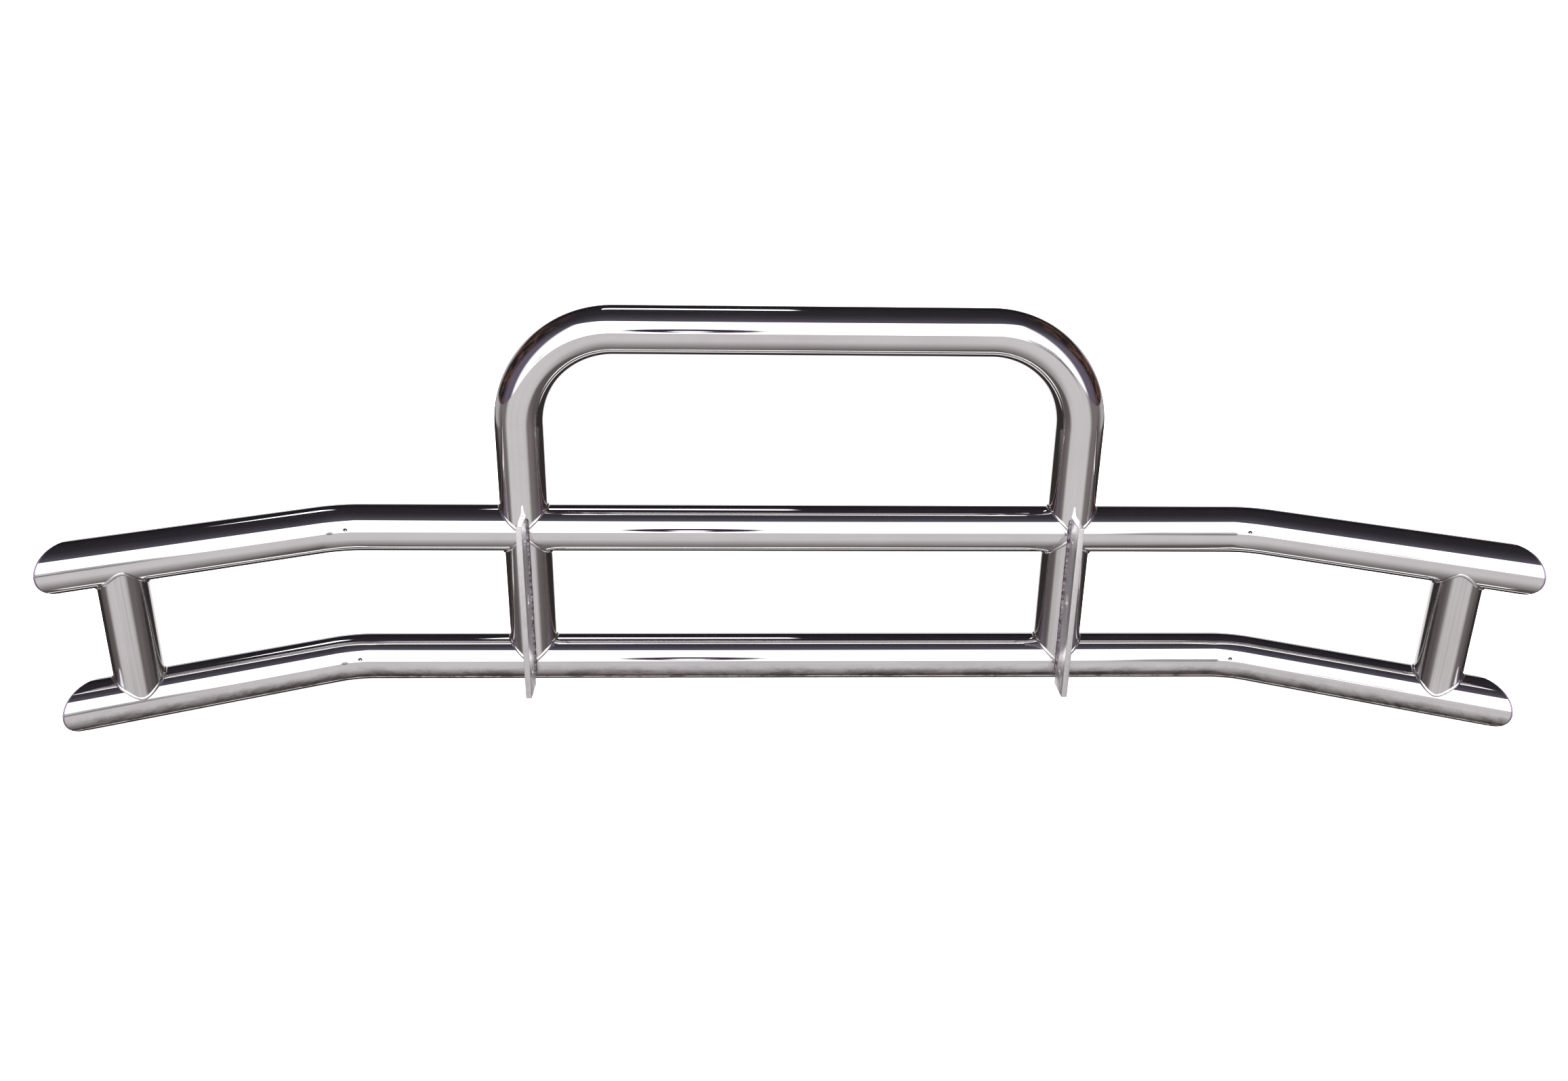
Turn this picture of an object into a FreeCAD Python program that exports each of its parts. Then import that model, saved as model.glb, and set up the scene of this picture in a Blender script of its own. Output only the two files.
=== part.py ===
import FreeCAD, Part
import math
import os

import Sketcher

# A front grille guard for a truck, in millimetres, with +Z up and the front towards -Y.
# Two horizontal rails, each with a wing swept back at either end, are joined by two lower
# uprights and two end struts. A hoop stands on the upper rail, and a flat mounting plate on
# edge is welded behind each pair of uprights. The origin is at the middle of the guard's
# footprint, on the plane that the lower rail rests on.

Vector = FreeCAD.Vector
Constraint = Sketcher.Constraint

SIZES = {
    "tube_od": 76.2,  # outside diameter of every tube but the end struts
    "strut_od": 73.0,  # outside diameter of an end strut
    "tube_wall": 3.0,  # wall of every tube
    "bend_radius": 152.4,  # centre-line radius of every bend
    "rail_spacing": 231.0,  # lower rail axis to upper rail axis
    "hoop_height": 326.0,  # upper rail axis to the axis of the hoop's top run
    "hoop_half_width": 445.0,  # middle of the guard to a hoop leg's axis
    "upright_half_width": 441.0,  # middle of the guard to a lower upright's axis
    "strut_half_width": 1034.0,  # middle of the guard to an end strut's axis
    "bend_half_width": 741.0,  # middle of the guard to where rail and wing axes cross
    "sweep_angle": 25.0,  # how far a wing turns back from the rail
    "wing_length": 400.0,  # along a wing's axis, from that crossing to the cut end
    "mitre_angle": 45.0,  # from a wing's axis to the normal of its cut end
    "cap_thickness": 3.0,  # plate that closes a cut end
    "plate_thickness": 9.5,
    "plate_depth": 50.8,
    "plate_height": 300.0,
    "plate_rise": 34.0,  # upper rail axis to the plate's top edge
    "plate_bite": 1.5,  # how far the plate's front edge is let into the tubes
    "bolt_hole": 13.0,  # round holes, one level with each rail's axis
    "slot_width": 15.0,
    "slot_height": 24.0,
    "slot_drop": 102.0,  # upper rail axis down to the slot's centre
    "joint_bead": 4.0,  # radius of the weld bead where two equal tubes meet
    "bead_sink": 2.8,  # how deep that bead's centre lies at the front and back of a joint
    "strut_bead": 2.5,  # how far the weld round an end strut stands out from the two tubes
    "plate_bead": 5.0,  # radius of the weld bead along a mounting plate
}

document = FreeCAD.newDocument("GrilleGuard")
sheet = document.addObject("Spreadsheet::Sheet", "Sizes")
for row, (alias, value) in enumerate(SIZES.items(), start=1):
    sheet.set(f"A{row}", alias)
    sheet.set(f"B{row}", str(value))
    sheet.setAlias(f"B{row}", alias)
document.recompute()


def sine(angle):
    """Formula for the sine of an angle in degrees."""
    return f"sin(({angle}) * 1 deg)"


def cosine(angle):
    """Formula for the cosine of an angle in degrees."""
    return f"cos(({angle}) * 1 deg)"


def tangent(angle):
    """Formula for the tangent of an angle in degrees."""
    return f"tan(({angle}) * 1 deg)"


def number(formula):
    """A formula's present value, as a plain number."""
    result = sheet.evalExpression(formula)
    return float(getattr(result, "Value", result))


# Formulas worked out from the sheet.
RADIUS = "Sizes.tube_od / 2"
STRUT_RADIUS = "Sizes.strut_od / 2"
CLEAR_OF_TUBES = "4 * Sizes.tube_od"
SWEEP = "Sizes.sweep_angle"
CUT_TURN = "Sizes.sweep_angle - Sizes.mitre_angle"  # heading of a cut end's normal
STRAIGHT_RUN = f"Sizes.bend_half_width - Sizes.bend_radius * {tangent(SWEEP + ' / 2')}"
WING_ACROSS = f"Sizes.wing_length * {cosine(SWEEP)}"
WING_BACK = f"Sizes.wing_length * {sine(SWEEP)}"
TIP_BACK = f"{RADIUS} / {cosine('Sizes.mitre_angle')} * {cosine(CUT_TURN)}"
FRONT_REACH = f"({RADIUS} + Sizes.joint_bead - Sizes.bead_sink)"  # rail axis to the guard's front
RAIL_Y = f"({FRONT_REACH} - {WING_BACK} - {TIP_BACK}) / 2"
LOWER_Z = RADIUS
UPPER_Z = f"{RADIUS} + Sizes.rail_spacing"
END_X = f"Sizes.bend_half_width + {WING_ACROSS}"
END_Y = f"{RAIL_Y} + {WING_BACK}"
STRUT_Y = f"{RAIL_Y} + (Sizes.strut_half_width - Sizes.bend_half_width) * {tangent(SWEEP)}"
PLATE_FRONT = f"{RADIUS} - Sizes.plate_bite"  # behind the rails' axes
PLATE_MIDDLE = f"{PLATE_FRONT} + Sizes.plate_depth / 2"

SIDES = {"left": 1, "right": -1}
RAILS = {"upper": UPPER_Z, "lower": LOWER_Z}


def turned(angle, axis="0; 0; 1"):
    """Formula for a rotation, about the vertical unless another axis is given."""
    return f"rotation(vector({axis}); {angle})"


def at(x, y, z, turn=turned(0)):
    """Formula for a placement."""
    return f"placement(vector({x}; {y}; {z}); {turn})"


def add(kind, name, placement=None, **formulas):
    """Adds a document object and binds its properties and placement to formulas."""
    item = document.addObject(kind, name)
    for field, formula in formulas.items():
        item.setExpression(field, formula)
    if placement:
        item.setExpression("Placement", placement)
    return item


def side_of(side, formula):
    """A sideways distance taken towards the given side."""
    return formula if SIDES[side] > 0 else f"-({formula})"


def heading(side, angle):
    """The direction, seen from above, that mirrors an angle onto the given side."""
    return angle if SIDES[side] > 0 else f"180 - ({angle})"


# Sketches and bodies


def origin_plane(body, role):
    """One of a body's own origin planes."""
    return next(plane for plane in body.Origin.OriginFeatures if plane.Role == role)


def sketch_on(body, name, role):
    """A new sketch on one of the body's origin planes."""
    sketch = body.newObject("Sketcher::SketchObject", name)
    sketch.AttachmentSupport = [(origin_plane(body, role), "")]
    sketch.MapMode = "FlatFace"
    return sketch


def dimension(sketch, name, formula, kind, *references):
    """A driving dimension of a sketch, bound to a formula."""
    start = number(formula)
    if kind == "Angle":
        start = math.radians(start)
    index = sketch.addConstraint(Constraint(kind, *references, start))
    sketch.renameConstraint(index, name)
    sketch.setExpression(f"Constraints.{name}", formula)


def add_circle(sketch, name, diameter, across="0", up="0"):
    """A circle whose centre lies at a formula's distance from the sketch origin."""
    centre = Vector(number(across), number(up), 0)
    circle = sketch.addGeometry(Part.Circle(centre, Vector(0, 0, 1), number(diameter) / 2))
    dimension(sketch, f"{name}_diameter", diameter, "Diameter", circle)
    for axis, kind, offset in (("across", "DistanceX", across), ("up", "DistanceY", up)):
        if offset == "0":
            on_axis = -2 if kind == "DistanceX" else -1
            sketch.addConstraint(Constraint("PointOnObject", circle, 3, on_axis))
        else:
            dimension(sketch, f"{name}_{axis}", offset, kind, -1, 1, circle, 3)


def add_outline(sketch, corners):
    """A closed outline of straight lines, one after another."""
    points = [Vector(x, y, 0) for x, y in corners]
    ends = points[1:] + points[:1]
    lines = [sketch.addGeometry(Part.LineSegment(a, b)) for a, b in zip(points, ends)]
    for line, following in zip(lines, lines[1:] + lines[:1]):
        sketch.addConstraint(Constraint("Coincident", line, 2, following, 1))
    return lines


def through_cut(body, name, sketch):
    """A pocket that runs right through the body, both ways from its sketch."""
    pocket = body.newObject("PartDesign::Pocket", name)
    pocket.Profile = sketch
    pocket.Type = "ThroughAll"
    pocket.Midplane = True
    return pocket


def tube_ring(body, role, up="0", outside="Sizes.tube_od"):
    """The cross-section of a tube: two circles about one centre."""
    ring = sketch_on(body, "Ring", role)
    add_circle(ring, "outside", outside, up=up)
    add_circle(ring, "inside", f"{outside} - 2 * Sizes.tube_wall", up=up)
    return ring


def bent_half_tube(body, ring, path_role, start, run, turn, leg):
    """Half of a symmetric bent tube: a run from the middle, one bend, then a leg.

    start is the path's height over the origin at the middle of the tube, turn the signed
    bend angle, and run and leg the lengths of the two straight stretches.
    """
    path = sketch_on(body, "Path", path_role)
    radius = number("Sizes.bend_radius")
    first = Vector(0, number(start), 0)
    knee = first + Vector(number(run), 0, 0)
    angle = math.radians(number(turn))
    way = math.copysign(1, angle)
    centre = knee + Vector(0, way * radius, 0)
    exit_point = centre + Vector(radius * math.sin(abs(angle)), -way * radius * math.cos(angle), 0)
    foot = exit_point + Vector(math.cos(angle), math.sin(angle), 0) * number(leg)
    circle = Part.Circle(centre, Vector(0, 0, 1), radius)
    angles = sorted((-way * math.pi / 2, -way * math.pi / 2 + angle))
    run_line = path.addGeometry(Part.LineSegment(first, knee))
    bend = path.addGeometry(Part.ArcOfCircle(circle, *angles))
    leg_line = path.addGeometry(Part.LineSegment(exit_point, foot))
    bend_start, bend_end = (1, 2) if way > 0 else (2, 1)
    path.addConstraint(Constraint("PointOnObject", run_line, 1, -2))
    path.addConstraint(Constraint("Horizontal", run_line))
    path.addConstraint(Constraint("Tangent", run_line, 2, bend, bend_start))
    path.addConstraint(Constraint("Tangent", bend, bend_end, leg_line, 1))
    if start == "0":
        path.addConstraint(Constraint("PointOnObject", run_line, 1, -1))
    else:
        dimension(path, "start", start, "DistanceY", -1, 1, run_line, 1)
    dimension(path, "run", run, "Distance", run_line, 1, run_line, 2)
    dimension(path, "radius", "Sizes.bend_radius", "Radius", bend)
    dimension(path, "turn", turn, "Angle", run_line, 1, leg_line, 1)
    dimension(path, "leg", leg, "Distance", leg_line, 1, leg_line, 2)
    tube = body.newObject("PartDesign::AdditivePipe", "Tube")
    tube.Profile = ring
    tube.Spine = (path, ["Edge1", "Edge2", "Edge3"])
    return tube


def mirror_halves(body, features):
    """Repeats the features on the other side of the guard's middle plane."""
    mirror = body.newObject("PartDesign::Mirrored", "OtherHalf")
    mirror.Originals = features
    mirror.MirrorPlane = (origin_plane(body, "YZ_Plane"), [""])
    body.Tip = mirror


# Tubes


def make_rail(name, height):
    """A horizontal rail with a mitred wing swept back at each end."""
    body = add("PartDesign::Body", name, at("0", RAIL_Y, height))
    ring = tube_ring(body, "YZ_Plane")
    spare = "2 * Sizes.tube_od"
    leg = f"Sizes.wing_length - Sizes.bend_radius * {tangent(SWEEP + ' / 2')} + {spare}"
    tube = bent_half_tube(body, ring, "XY_Plane", "0", STRAIGHT_RUN, SWEEP, leg)

    # The mitre removes a block beyond the face that the end cap is welded to.
    block = sketch_on(body, "BeyondCut", "XY_Plane")
    turn = math.radians(number(CUT_TURN))
    normal = Vector(math.cos(turn), math.sin(turn), 0)
    along = Vector(-normal.y, normal.x, 0)
    across = f"{END_X} - Sizes.cap_thickness * {cosine(CUT_TURN)}"
    back = f"{WING_BACK} - Sizes.cap_thickness * {sine(CUT_TURN)}"
    length = "4 * Sizes.tube_od"
    middle = Vector(number(across), number(back), 0)
    reach = normal * number(length)
    half = along * (number(length) / 2)
    corners = [middle - half, middle - half + reach, middle + half + reach, middle + half]
    lines = add_outline(block, [(corner.x, corner.y) for corner in corners])
    centre = block.addGeometry(Part.Point(middle), True)
    dimension(block, "across", across, "DistanceX", -1, 1, centre, 1)
    dimension(block, "back", back, "DistanceY", -1, 1, centre, 1)
    block.addConstraint(Constraint("Symmetric", lines[3], 1, lines[3], 2, centre, 1))
    for line, following in zip(lines[:3], lines[1:]):
        block.addConstraint(Constraint("Perpendicular", line, following))
    dimension(block, "reach", length, "Distance", lines[0], 1, lines[0], 2)
    dimension(block, "width", length, "Distance", lines[3], 1, lines[3], 2)
    dimension(block, "turn", CUT_TURN, "Angle", -1, 1, lines[0], 1)
    mitre = through_cut(body, "Mitre", block)
    mirror_halves(body, [tube, mitre])
    return body


def make_hoop():
    """The hoop: one tube bent over two uprights, coped where its legs meet the upper rail."""
    body = add("PartDesign::Body", "hoop", at("0", RAIL_Y, UPPER_Z))
    ring = tube_ring(body, "YZ_Plane", up="Sizes.hoop_height")
    run = "Sizes.hoop_half_width - Sizes.bend_radius"
    leg = "Sizes.hoop_height - Sizes.bend_radius"
    tube = bent_half_tube(body, ring, "XZ_Plane", "Sizes.hoop_height", run, "-90", leg)
    saddle = sketch_on(body, "Saddle", "YZ_Plane")
    add_circle(saddle, "rail", "Sizes.tube_od")
    cope = through_cut(body, "Cope", saddle)
    mirror_halves(body, [tube, cope])
    return body


def make_post(name, placement, outside):
    """A straight vertical tube, coped to fit between the two rails."""
    body = add("PartDesign::Body", name, placement)
    ring = tube_ring(body, "XY_Plane", outside=outside)
    post = body.newObject("PartDesign::Pad", "Post")
    post.Profile = ring
    post.setExpression("Length", "Sizes.rail_spacing")
    saddles = sketch_on(body, "Saddles", "YZ_Plane")
    add_circle(saddles, "lower", "Sizes.tube_od")
    add_circle(saddles, "upper", "Sizes.tube_od", up="Sizes.rail_spacing")
    through_cut(body, "Copes", saddles)
    return body


def make_rod(name, placement, length, radius=RADIUS):
    """The solid outline of a tube, which trims the pieces that meet the tube.

    It is turned on its own axis, so that its seam line lies clear of the saddle joints.
    """
    spun = f"{placement} * {at(0, 0, 0, turned(45))}"
    return add("Part::Cylinder", name, spun, Radius=radius, Height=length)


def make_block(name, start):
    """A block over the whole length of a rail, which ends a bead at a level plane."""
    return add(
        "Part::Box",
        name,
        at(f"-({STRAIGHT_RUN})", f"{RAIL_Y} - {CLEAR_OF_TUBES} / 2", start),
        Length=f"2 * ({STRAIGHT_RUN})",
        Width=CLEAR_OF_TUBES,
        Height=CLEAR_OF_TUBES,
    )


# Plates


def make_cap(name, side, height):
    """The flat plate that closes a wing's mitred end, flush with the tube."""
    reach = "3 * Sizes.tube_od"
    half = "1.5 * Sizes.tube_od"
    end = (side_of(side, END_X), END_Y, height)
    lying = f"{turned(heading(side, SWEEP))} * {turned(90, '0; 1; 0')}"
    rod = make_rod(f"{name}_rod", f"{at(*end, lying)} * {at(0, 0, '-(' + half + ')')}", reach)
    facing = at(*end, turned(heading(side, CUT_TURN)))
    slab = add(
        "Part::Box",
        f"{name}_slab",
        f"{facing} * {at('-Sizes.cap_thickness', '-(' + half + ')', '-(' + half + ')')}",
        Length="Sizes.cap_thickness",
        Width=reach,
        Height=reach,
    )
    cap = add("Part::Common", name)
    cap.Base = rod
    cap.Tool = slab
    return cap


def make_plate(name, side, tubes):
    """A flat bar on edge behind an upright, with two bolt holes and a slot."""
    body = add(
        "PartDesign::Body",
        f"{name}_bar",
        at(side_of(side, "Sizes.upright_half_width"), RAIL_Y, UPPER_Z),
    )
    profile = sketch_on(body, "Profile", "YZ_Plane")
    front = number(PLATE_FRONT)
    top = number("Sizes.plate_rise")
    rear = front + number("Sizes.plate_depth")
    bottom = top - number("Sizes.plate_height")
    lines = add_outline(profile, [(front, bottom), (rear, bottom), (rear, top), (front, top)])
    for line in lines[0::2]:
        profile.addConstraint(Constraint("Horizontal", line))
    for line in lines[1::2]:
        profile.addConstraint(Constraint("Vertical", line))
    dimension(profile, "front", PLATE_FRONT, "DistanceX", -1, 1, lines[3], 1)
    dimension(profile, "rise", "Sizes.plate_rise", "DistanceY", -1, 1, lines[3], 1)
    dimension(profile, "depth", "Sizes.plate_depth", "Distance", lines[0], 1, lines[0], 2)
    dimension(profile, "height", "Sizes.plate_height", "Distance", lines[1], 1, lines[1], 2)
    add_circle(profile, "upper_hole", "Sizes.bolt_hole", PLATE_MIDDLE)
    add_circle(profile, "lower_hole", "Sizes.bolt_hole", PLATE_MIDDLE, "-Sizes.rail_spacing")
    bar = body.newObject("PartDesign::Pad", "Bar")
    bar.Profile = profile
    bar.Midplane = True
    bar.setExpression("Length", "Sizes.plate_thickness")

    slot = sketch_on(body, "SlotOutline", "YZ_Plane")
    add_slot(slot)
    through_cut(body, "Slot", slot)
    return trimmed(name, body, tubes)


def add_slot(sketch):
    """An upright slot with round ends, in the middle of the plate's depth."""
    radius = number("Sizes.slot_width / 2")
    across = number(PLATE_MIDDLE)
    drop = number("Sizes.slot_drop")
    half = number("(Sizes.slot_height - Sizes.slot_width) / 2")
    up = Vector(0, 0, 1)
    top = Part.Circle(Vector(across, half - drop, 0), up, radius)
    bottom = Part.Circle(Vector(across, -half - drop, 0), up, radius)
    over = sketch.addGeometry(Part.ArcOfCircle(top, 0, math.pi))
    under = sketch.addGeometry(Part.ArcOfCircle(bottom, math.pi, 2 * math.pi))
    flanks = []
    for way in (-1, 1):
        ends = [Vector(across + way * radius, -way * half - drop, 0)]
        ends.insert(0, Vector(across + way * radius, way * half - drop, 0))
        flanks.append(sketch.addGeometry(Part.LineSegment(*ends)))
    before, after = flanks
    sketch.addConstraint(Constraint("Tangent", over, 2, before, 2))
    sketch.addConstraint(Constraint("Tangent", before, 1, under, 1))
    sketch.addConstraint(Constraint("Tangent", under, 2, after, 2))
    sketch.addConstraint(Constraint("Tangent", after, 1, over, 1))
    sketch.addConstraint(Constraint("Vertical", before))
    dimension(sketch, "radius", "Sizes.slot_width / 2", "Radius", over)
    dimension(sketch, "across", PLATE_MIDDLE, "DistanceX", -1, 1, over, 3)
    centre = sketch.addGeometry(Part.Point(Vector(across, -drop, 0)), True)
    sketch.addConstraint(Constraint("Symmetric", over, 3, under, 3, centre, 1))
    dimension(sketch, "drop", "Sizes.slot_drop", "DistanceY", centre, 1, -1, 1)
    dimension(sketch, "centres", "Sizes.slot_height - Sizes.slot_width", "DistanceY",
              under, 3, over, 3)


# Welds


def trimmed(name, piece, tools):
    """The piece without what the tools take up."""
    for index, tool in enumerate(tools):
        last = index == len(tools) - 1
        cut = document.addObject("Part::Cut", name if last else f"{name}_trim")
        cut.Base = piece
        cut.Tool = tool
        piece = cut
    return piece


def make_joint_weld(name, centre, above, tools):
    """The bead round a saddle joint of two equal tubes, one standing on the other.

    Two half ellipses, each leaning 45 degrees, meet at the front and the back of the joint,
    where the bead is almost flush with the tubes.
    """
    sunk = f"({RADIUS} - Sizes.bead_sink)"
    upturn = turned(0) if above else turned(180, "1; 0; 0")
    pieces = []
    for half_turn in (0, 180):
        lean = f"{turned(half_turn)} * {upturn} * {turned(-45, '0; 1; 0')}"
        seat = at(*centre, lean)
        seam = add(
            "Part::Ellipse",
            f"{name}_seam",
            seat,
            MajorRadius=f"{RADIUS} * sqrt(2)",
            MinorRadius=sunk,
        )
        seam.Angle1 = 270
        seam.Angle2 = 90
        start = at(0, f"-{sunk}", 0, turned(90, "0; 1; 0"))
        wire = add("Part::Circle", f"{name}_wire", f"{seat} * {start}", Radius="Sizes.joint_bead")
        bead = add("Part::Sweep", f"{name}_bead")
        bead.Sections = [wire]
        bead.Spine = (seam, ["Edge1"])
        bead.Solid = True
        pieces.append(bead)
        knot_place = f"{seat} * {at(0, sunk, 0)}"
        pieces.append(add("Part::Sphere", f"{name}_knot", knot_place, Radius="Sizes.joint_bead"))
    whole = document.addObject("Part::MultiFuse", f"{name}_run")
    whole.Shapes = pieces
    return trimmed(name, whole, tools)


def make_strut_weld(name, strut_place, wing_place, tools):
    """The bead round an end strut: what lies close to the strut and close to the wing as well."""
    near = [
        make_rod(
            f"{name}_near_strut",
            strut_place,
            "Sizes.rail_spacing",
            f"{STRUT_RADIUS} + Sizes.strut_bead",
        ),
        make_rod(
            f"{name}_near_wing",
            wing_place,
            "Sizes.wing_length",
            f"{RADIUS} + Sizes.strut_bead",
        ),
    ]
    both = document.addObject("Part::Common", f"{name}_run")
    both.Base, both.Tool = near
    return trimmed(name, both, tools)


def make_plate_weld(name, side, outward, tools):
    """The bead along one face of a mounting plate, round-ended, from its top downwards."""
    face = f"Sizes.upright_half_width + {outward} * Sizes.plate_thickness / 2"
    top = f"{UPPER_Z} + Sizes.plate_rise - 2 * Sizes.plate_bead"
    bottom = f"{LOWER_Z} - Sizes.plate_bead"
    seam = (side_of(side, face), f"{RAIL_Y} + {PLATE_FRONT} + Sizes.plate_bite / 2")
    foot = at(*seam, bottom, turned(45))
    head = at(*seam, top, turned(45))
    length = f"{top} - ({bottom})"
    radius = "Sizes.plate_bead"
    pieces = [
        add("Part::Cylinder", f"{name}_bead", foot, Radius=radius, Height=length),
        add("Part::Sphere", f"{name}_start", head, Radius=radius),
        add("Part::Sphere", f"{name}_stop", foot, Radius=radius),
    ]
    whole = document.addObject("Part::MultiFuse", f"{name}_run")
    whole.Shapes = pieces
    return trimmed(name, whole, tools)


# The guard

parts = []
rail_rods = {}
lying_across = turned(90, "0; 1; 0")
for level, height in RAILS.items():
    parts.append(make_rail(f"{level}_crossbar", height))
    rod_start = at(f"-({STRAIGHT_RUN})", RAIL_Y, height, lying_across)
    rail_rods[level] = make_rod(f"{level}_rod", rod_start, f"2 * ({STRAIGHT_RUN})")
parts.append(make_hoop())
blocks = {
    "above": make_block("above_rail_axis", UPPER_Z),
    "below": make_block("below_rail_axis", f"{UPPER_Z} - {CLEAR_OF_TUBES}"),
}

for side in SIDES:
    leg_x = side_of(side, "Sizes.hoop_half_width")
    upright_x = side_of(side, "Sizes.upright_half_width")
    strut_x = side_of(side, "Sizes.strut_half_width")
    wing_heading = heading(side, SWEEP)

    upright_place = at(upright_x, RAIL_Y, LOWER_Z)
    strut_place = at(strut_x, STRUT_Y, LOWER_Z, turned(wing_heading))
    parts.append(make_post(f"{side}_lower_upright", upright_place, "Sizes.tube_od"))
    parts.append(make_post(f"{side}_end_strut", strut_place, "Sizes.strut_od"))
    upright_rod = make_rod(f"{side}_upright_rod", upright_place, "Sizes.rail_spacing")
    strut_rod = make_rod(f"{side}_strut_rod", strut_place, "Sizes.rail_spacing", STRUT_RADIUS)
    leg_length = "Sizes.hoop_height - Sizes.bend_radius"
    leg_rod = make_rod(f"{side}_leg_rod", at(leg_x, RAIL_Y, UPPER_Z), leg_length)

    for level, height in RAILS.items():
        parts.append(make_cap(f"{level}_{side}_end_cap", side, height))

    outline = document.addObject("Part::MultiFuse", f"{side}_upright_outline")
    outline.Shapes = [leg_rod, upright_rod, rail_rods["upper"], rail_rods["lower"]]
    plate = make_plate(f"{side}_mounting_plate", side, [outline])
    parts.append(plate)

    hoop_weld = make_joint_weld(
        f"{side}_hoop_weld",
        (leg_x, RAIL_Y, UPPER_Z),
        True,
        [leg_rod, rail_rods["upper"], blocks["below"], plate],
    )
    upright_top_weld = make_joint_weld(
        f"{side}_upright_top_weld",
        (upright_x, RAIL_Y, UPPER_Z),
        False,
        [upright_rod, rail_rods["upper"], blocks["above"], plate],
    )
    upright_foot_weld = make_joint_weld(
        f"{side}_upright_foot_weld",
        (upright_x, RAIL_Y, LOWER_Z),
        True,
        [upright_rod, rail_rods["lower"], plate],
    )
    upright_welds = [hoop_weld, upright_top_weld, upright_foot_weld]
    parts.extend(upright_welds)

    for level, height in RAILS.items():
        wing_start = (side_of(side, "Sizes.bend_half_width"), RAIL_Y, height)
        lying = f"{turned(wing_heading)} * {lying_across}"
        wing_place = at(*wing_start, lying)
        wing_rod = make_rod(f"{level}_{side}_wing_rod", wing_place, "Sizes.wing_length")
        end = "foot" if level == "lower" else "top"
        weld = make_strut_weld(
            f"{side}_strut_{end}_weld", strut_place, wing_place, [strut_rod, wing_rod]
        )
        parts.append(weld)

    for face, outward in (("outer", 1), ("inner", -1)):
        parts.append(
            make_plate_weld(
                f"{side}_plate_{face}_weld",
                side,
                outward,
                [outline, plate] + upright_welds,
            )
        )

document.recompute()

# Checks, then one file for each piece

for item in document.Objects:
    if "Invalid" in item.State or "Error" in item.State:
        raise RuntimeError(f"{item.Label} did not rebuild: {item.State}")
for part in parts:
    if part.Shape.isNull() or not part.Shape.isValid():
        raise RuntimeError(f"{part.Label} has no valid shape")
    if len(part.Shape.Solids) != 1:
        raise RuntimeError(f"{part.Label} is {len(part.Shape.Solids)} solids")

os.makedirs("parts", exist_ok=True)
for part in parts:
    part.Shape.exportStep(f"parts/{part.Label}.step")
    box = part.Shape.BoundBox
    print(f"{part.Label}: {box.XLength:.1f} x {box.YLength:.1f} x {box.ZLength:.1f} mm")
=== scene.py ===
"""Visual model of a welded tube grille guard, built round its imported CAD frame. Units are metres."""

import math

import bmesh
import bpy
from mathutils import Matrix, Vector, noise


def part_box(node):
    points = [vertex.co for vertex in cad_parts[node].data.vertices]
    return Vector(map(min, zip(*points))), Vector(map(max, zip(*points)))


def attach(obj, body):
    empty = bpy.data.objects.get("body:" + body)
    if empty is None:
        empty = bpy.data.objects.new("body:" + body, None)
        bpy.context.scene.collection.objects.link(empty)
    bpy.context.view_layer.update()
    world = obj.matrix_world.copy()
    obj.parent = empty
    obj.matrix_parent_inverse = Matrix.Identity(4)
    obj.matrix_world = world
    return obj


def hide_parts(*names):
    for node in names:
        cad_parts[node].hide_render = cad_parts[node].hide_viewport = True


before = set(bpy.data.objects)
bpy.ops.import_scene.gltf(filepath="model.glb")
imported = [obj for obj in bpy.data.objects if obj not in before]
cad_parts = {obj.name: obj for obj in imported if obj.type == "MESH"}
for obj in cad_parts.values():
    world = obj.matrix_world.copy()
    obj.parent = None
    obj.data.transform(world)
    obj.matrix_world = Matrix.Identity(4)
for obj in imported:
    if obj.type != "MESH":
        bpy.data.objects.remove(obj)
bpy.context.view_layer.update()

MM = 0.001
SIDES = {"left": 1, "right": -1}

# Sizes that the CAD part is drawn with.
WALL = 3.0 * MM
STRUT_RADIUS = 36.5 * MM
BEND_RADIUS = 152.4 * MM
SWEEP = math.radians(25)
END_TURN = math.radians(-20)
CAP_THICKNESS = 3.0 * MM
BOLT_HOLE = 13.0 * MM
SLOT_WIDTH = 15.0 * MM
SLOT_HEIGHT = 24.0 * MM
SLOT_DROP = 102.0 * MM

# Details that only the visual model has.
TIP_ROUND = 7.5 * MM  # rounds the V tips where a tube meets a rail of its own size
CAP_SEAM = 0.3 * MM
CAP_RIM = 2.2 * MM
PLATE_EASE = 0.7 * MM
PLATE_CORNER = 1.2 * MM

# The dressed beads round the joints: their radius, how far they stand proud, and their ripples.
BEAD = 4.6 * MM
BEAD_PROUD_TIP = 1.1 * MM
BEAD_PROUD_CROTCH = 3.0 * MM
RIPPLE_PITCH = 2.8 * MM
RIPPLE_HEIGHT = 0.025 * MM

# The rough beads beside the plates.
ROUGH_BEAD = 2.75 * MM
ROUGH_OFFSET = 0.7 * MM
ROUGH_DRIFT = 0.5 * MM
ROUGH_TAPER = 3.0 * MM
ROUGH_PITCH = 3.4 * MM
ROUGH_RIPPLE = 0.22 * MM
ROUGH_LUMP = 0.5 * MM
ROUGH_LUMP_LENGTH = 4.5 * MM

# How finely the meshes are divided.
AROUND = 144
ARC_STEP = math.radians(1.25)
BENT_STEPS = 14  # stations for each metre of straight run
POST_STEPS = 20
BEAD_STEPS = 420
BEAD_AROUND = 24
ROUGH_STEP = 0.9 * MM
ROUGH_AROUND = 32
SUPPORT = 0.8 * MM  # from a tube's end to the ring that keeps its edge crisp
NEAR = 0.05 * MM  # the same beside a cap's rounded edges
SEAM_STEPS = 3
RIM_STEPS = 6

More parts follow.
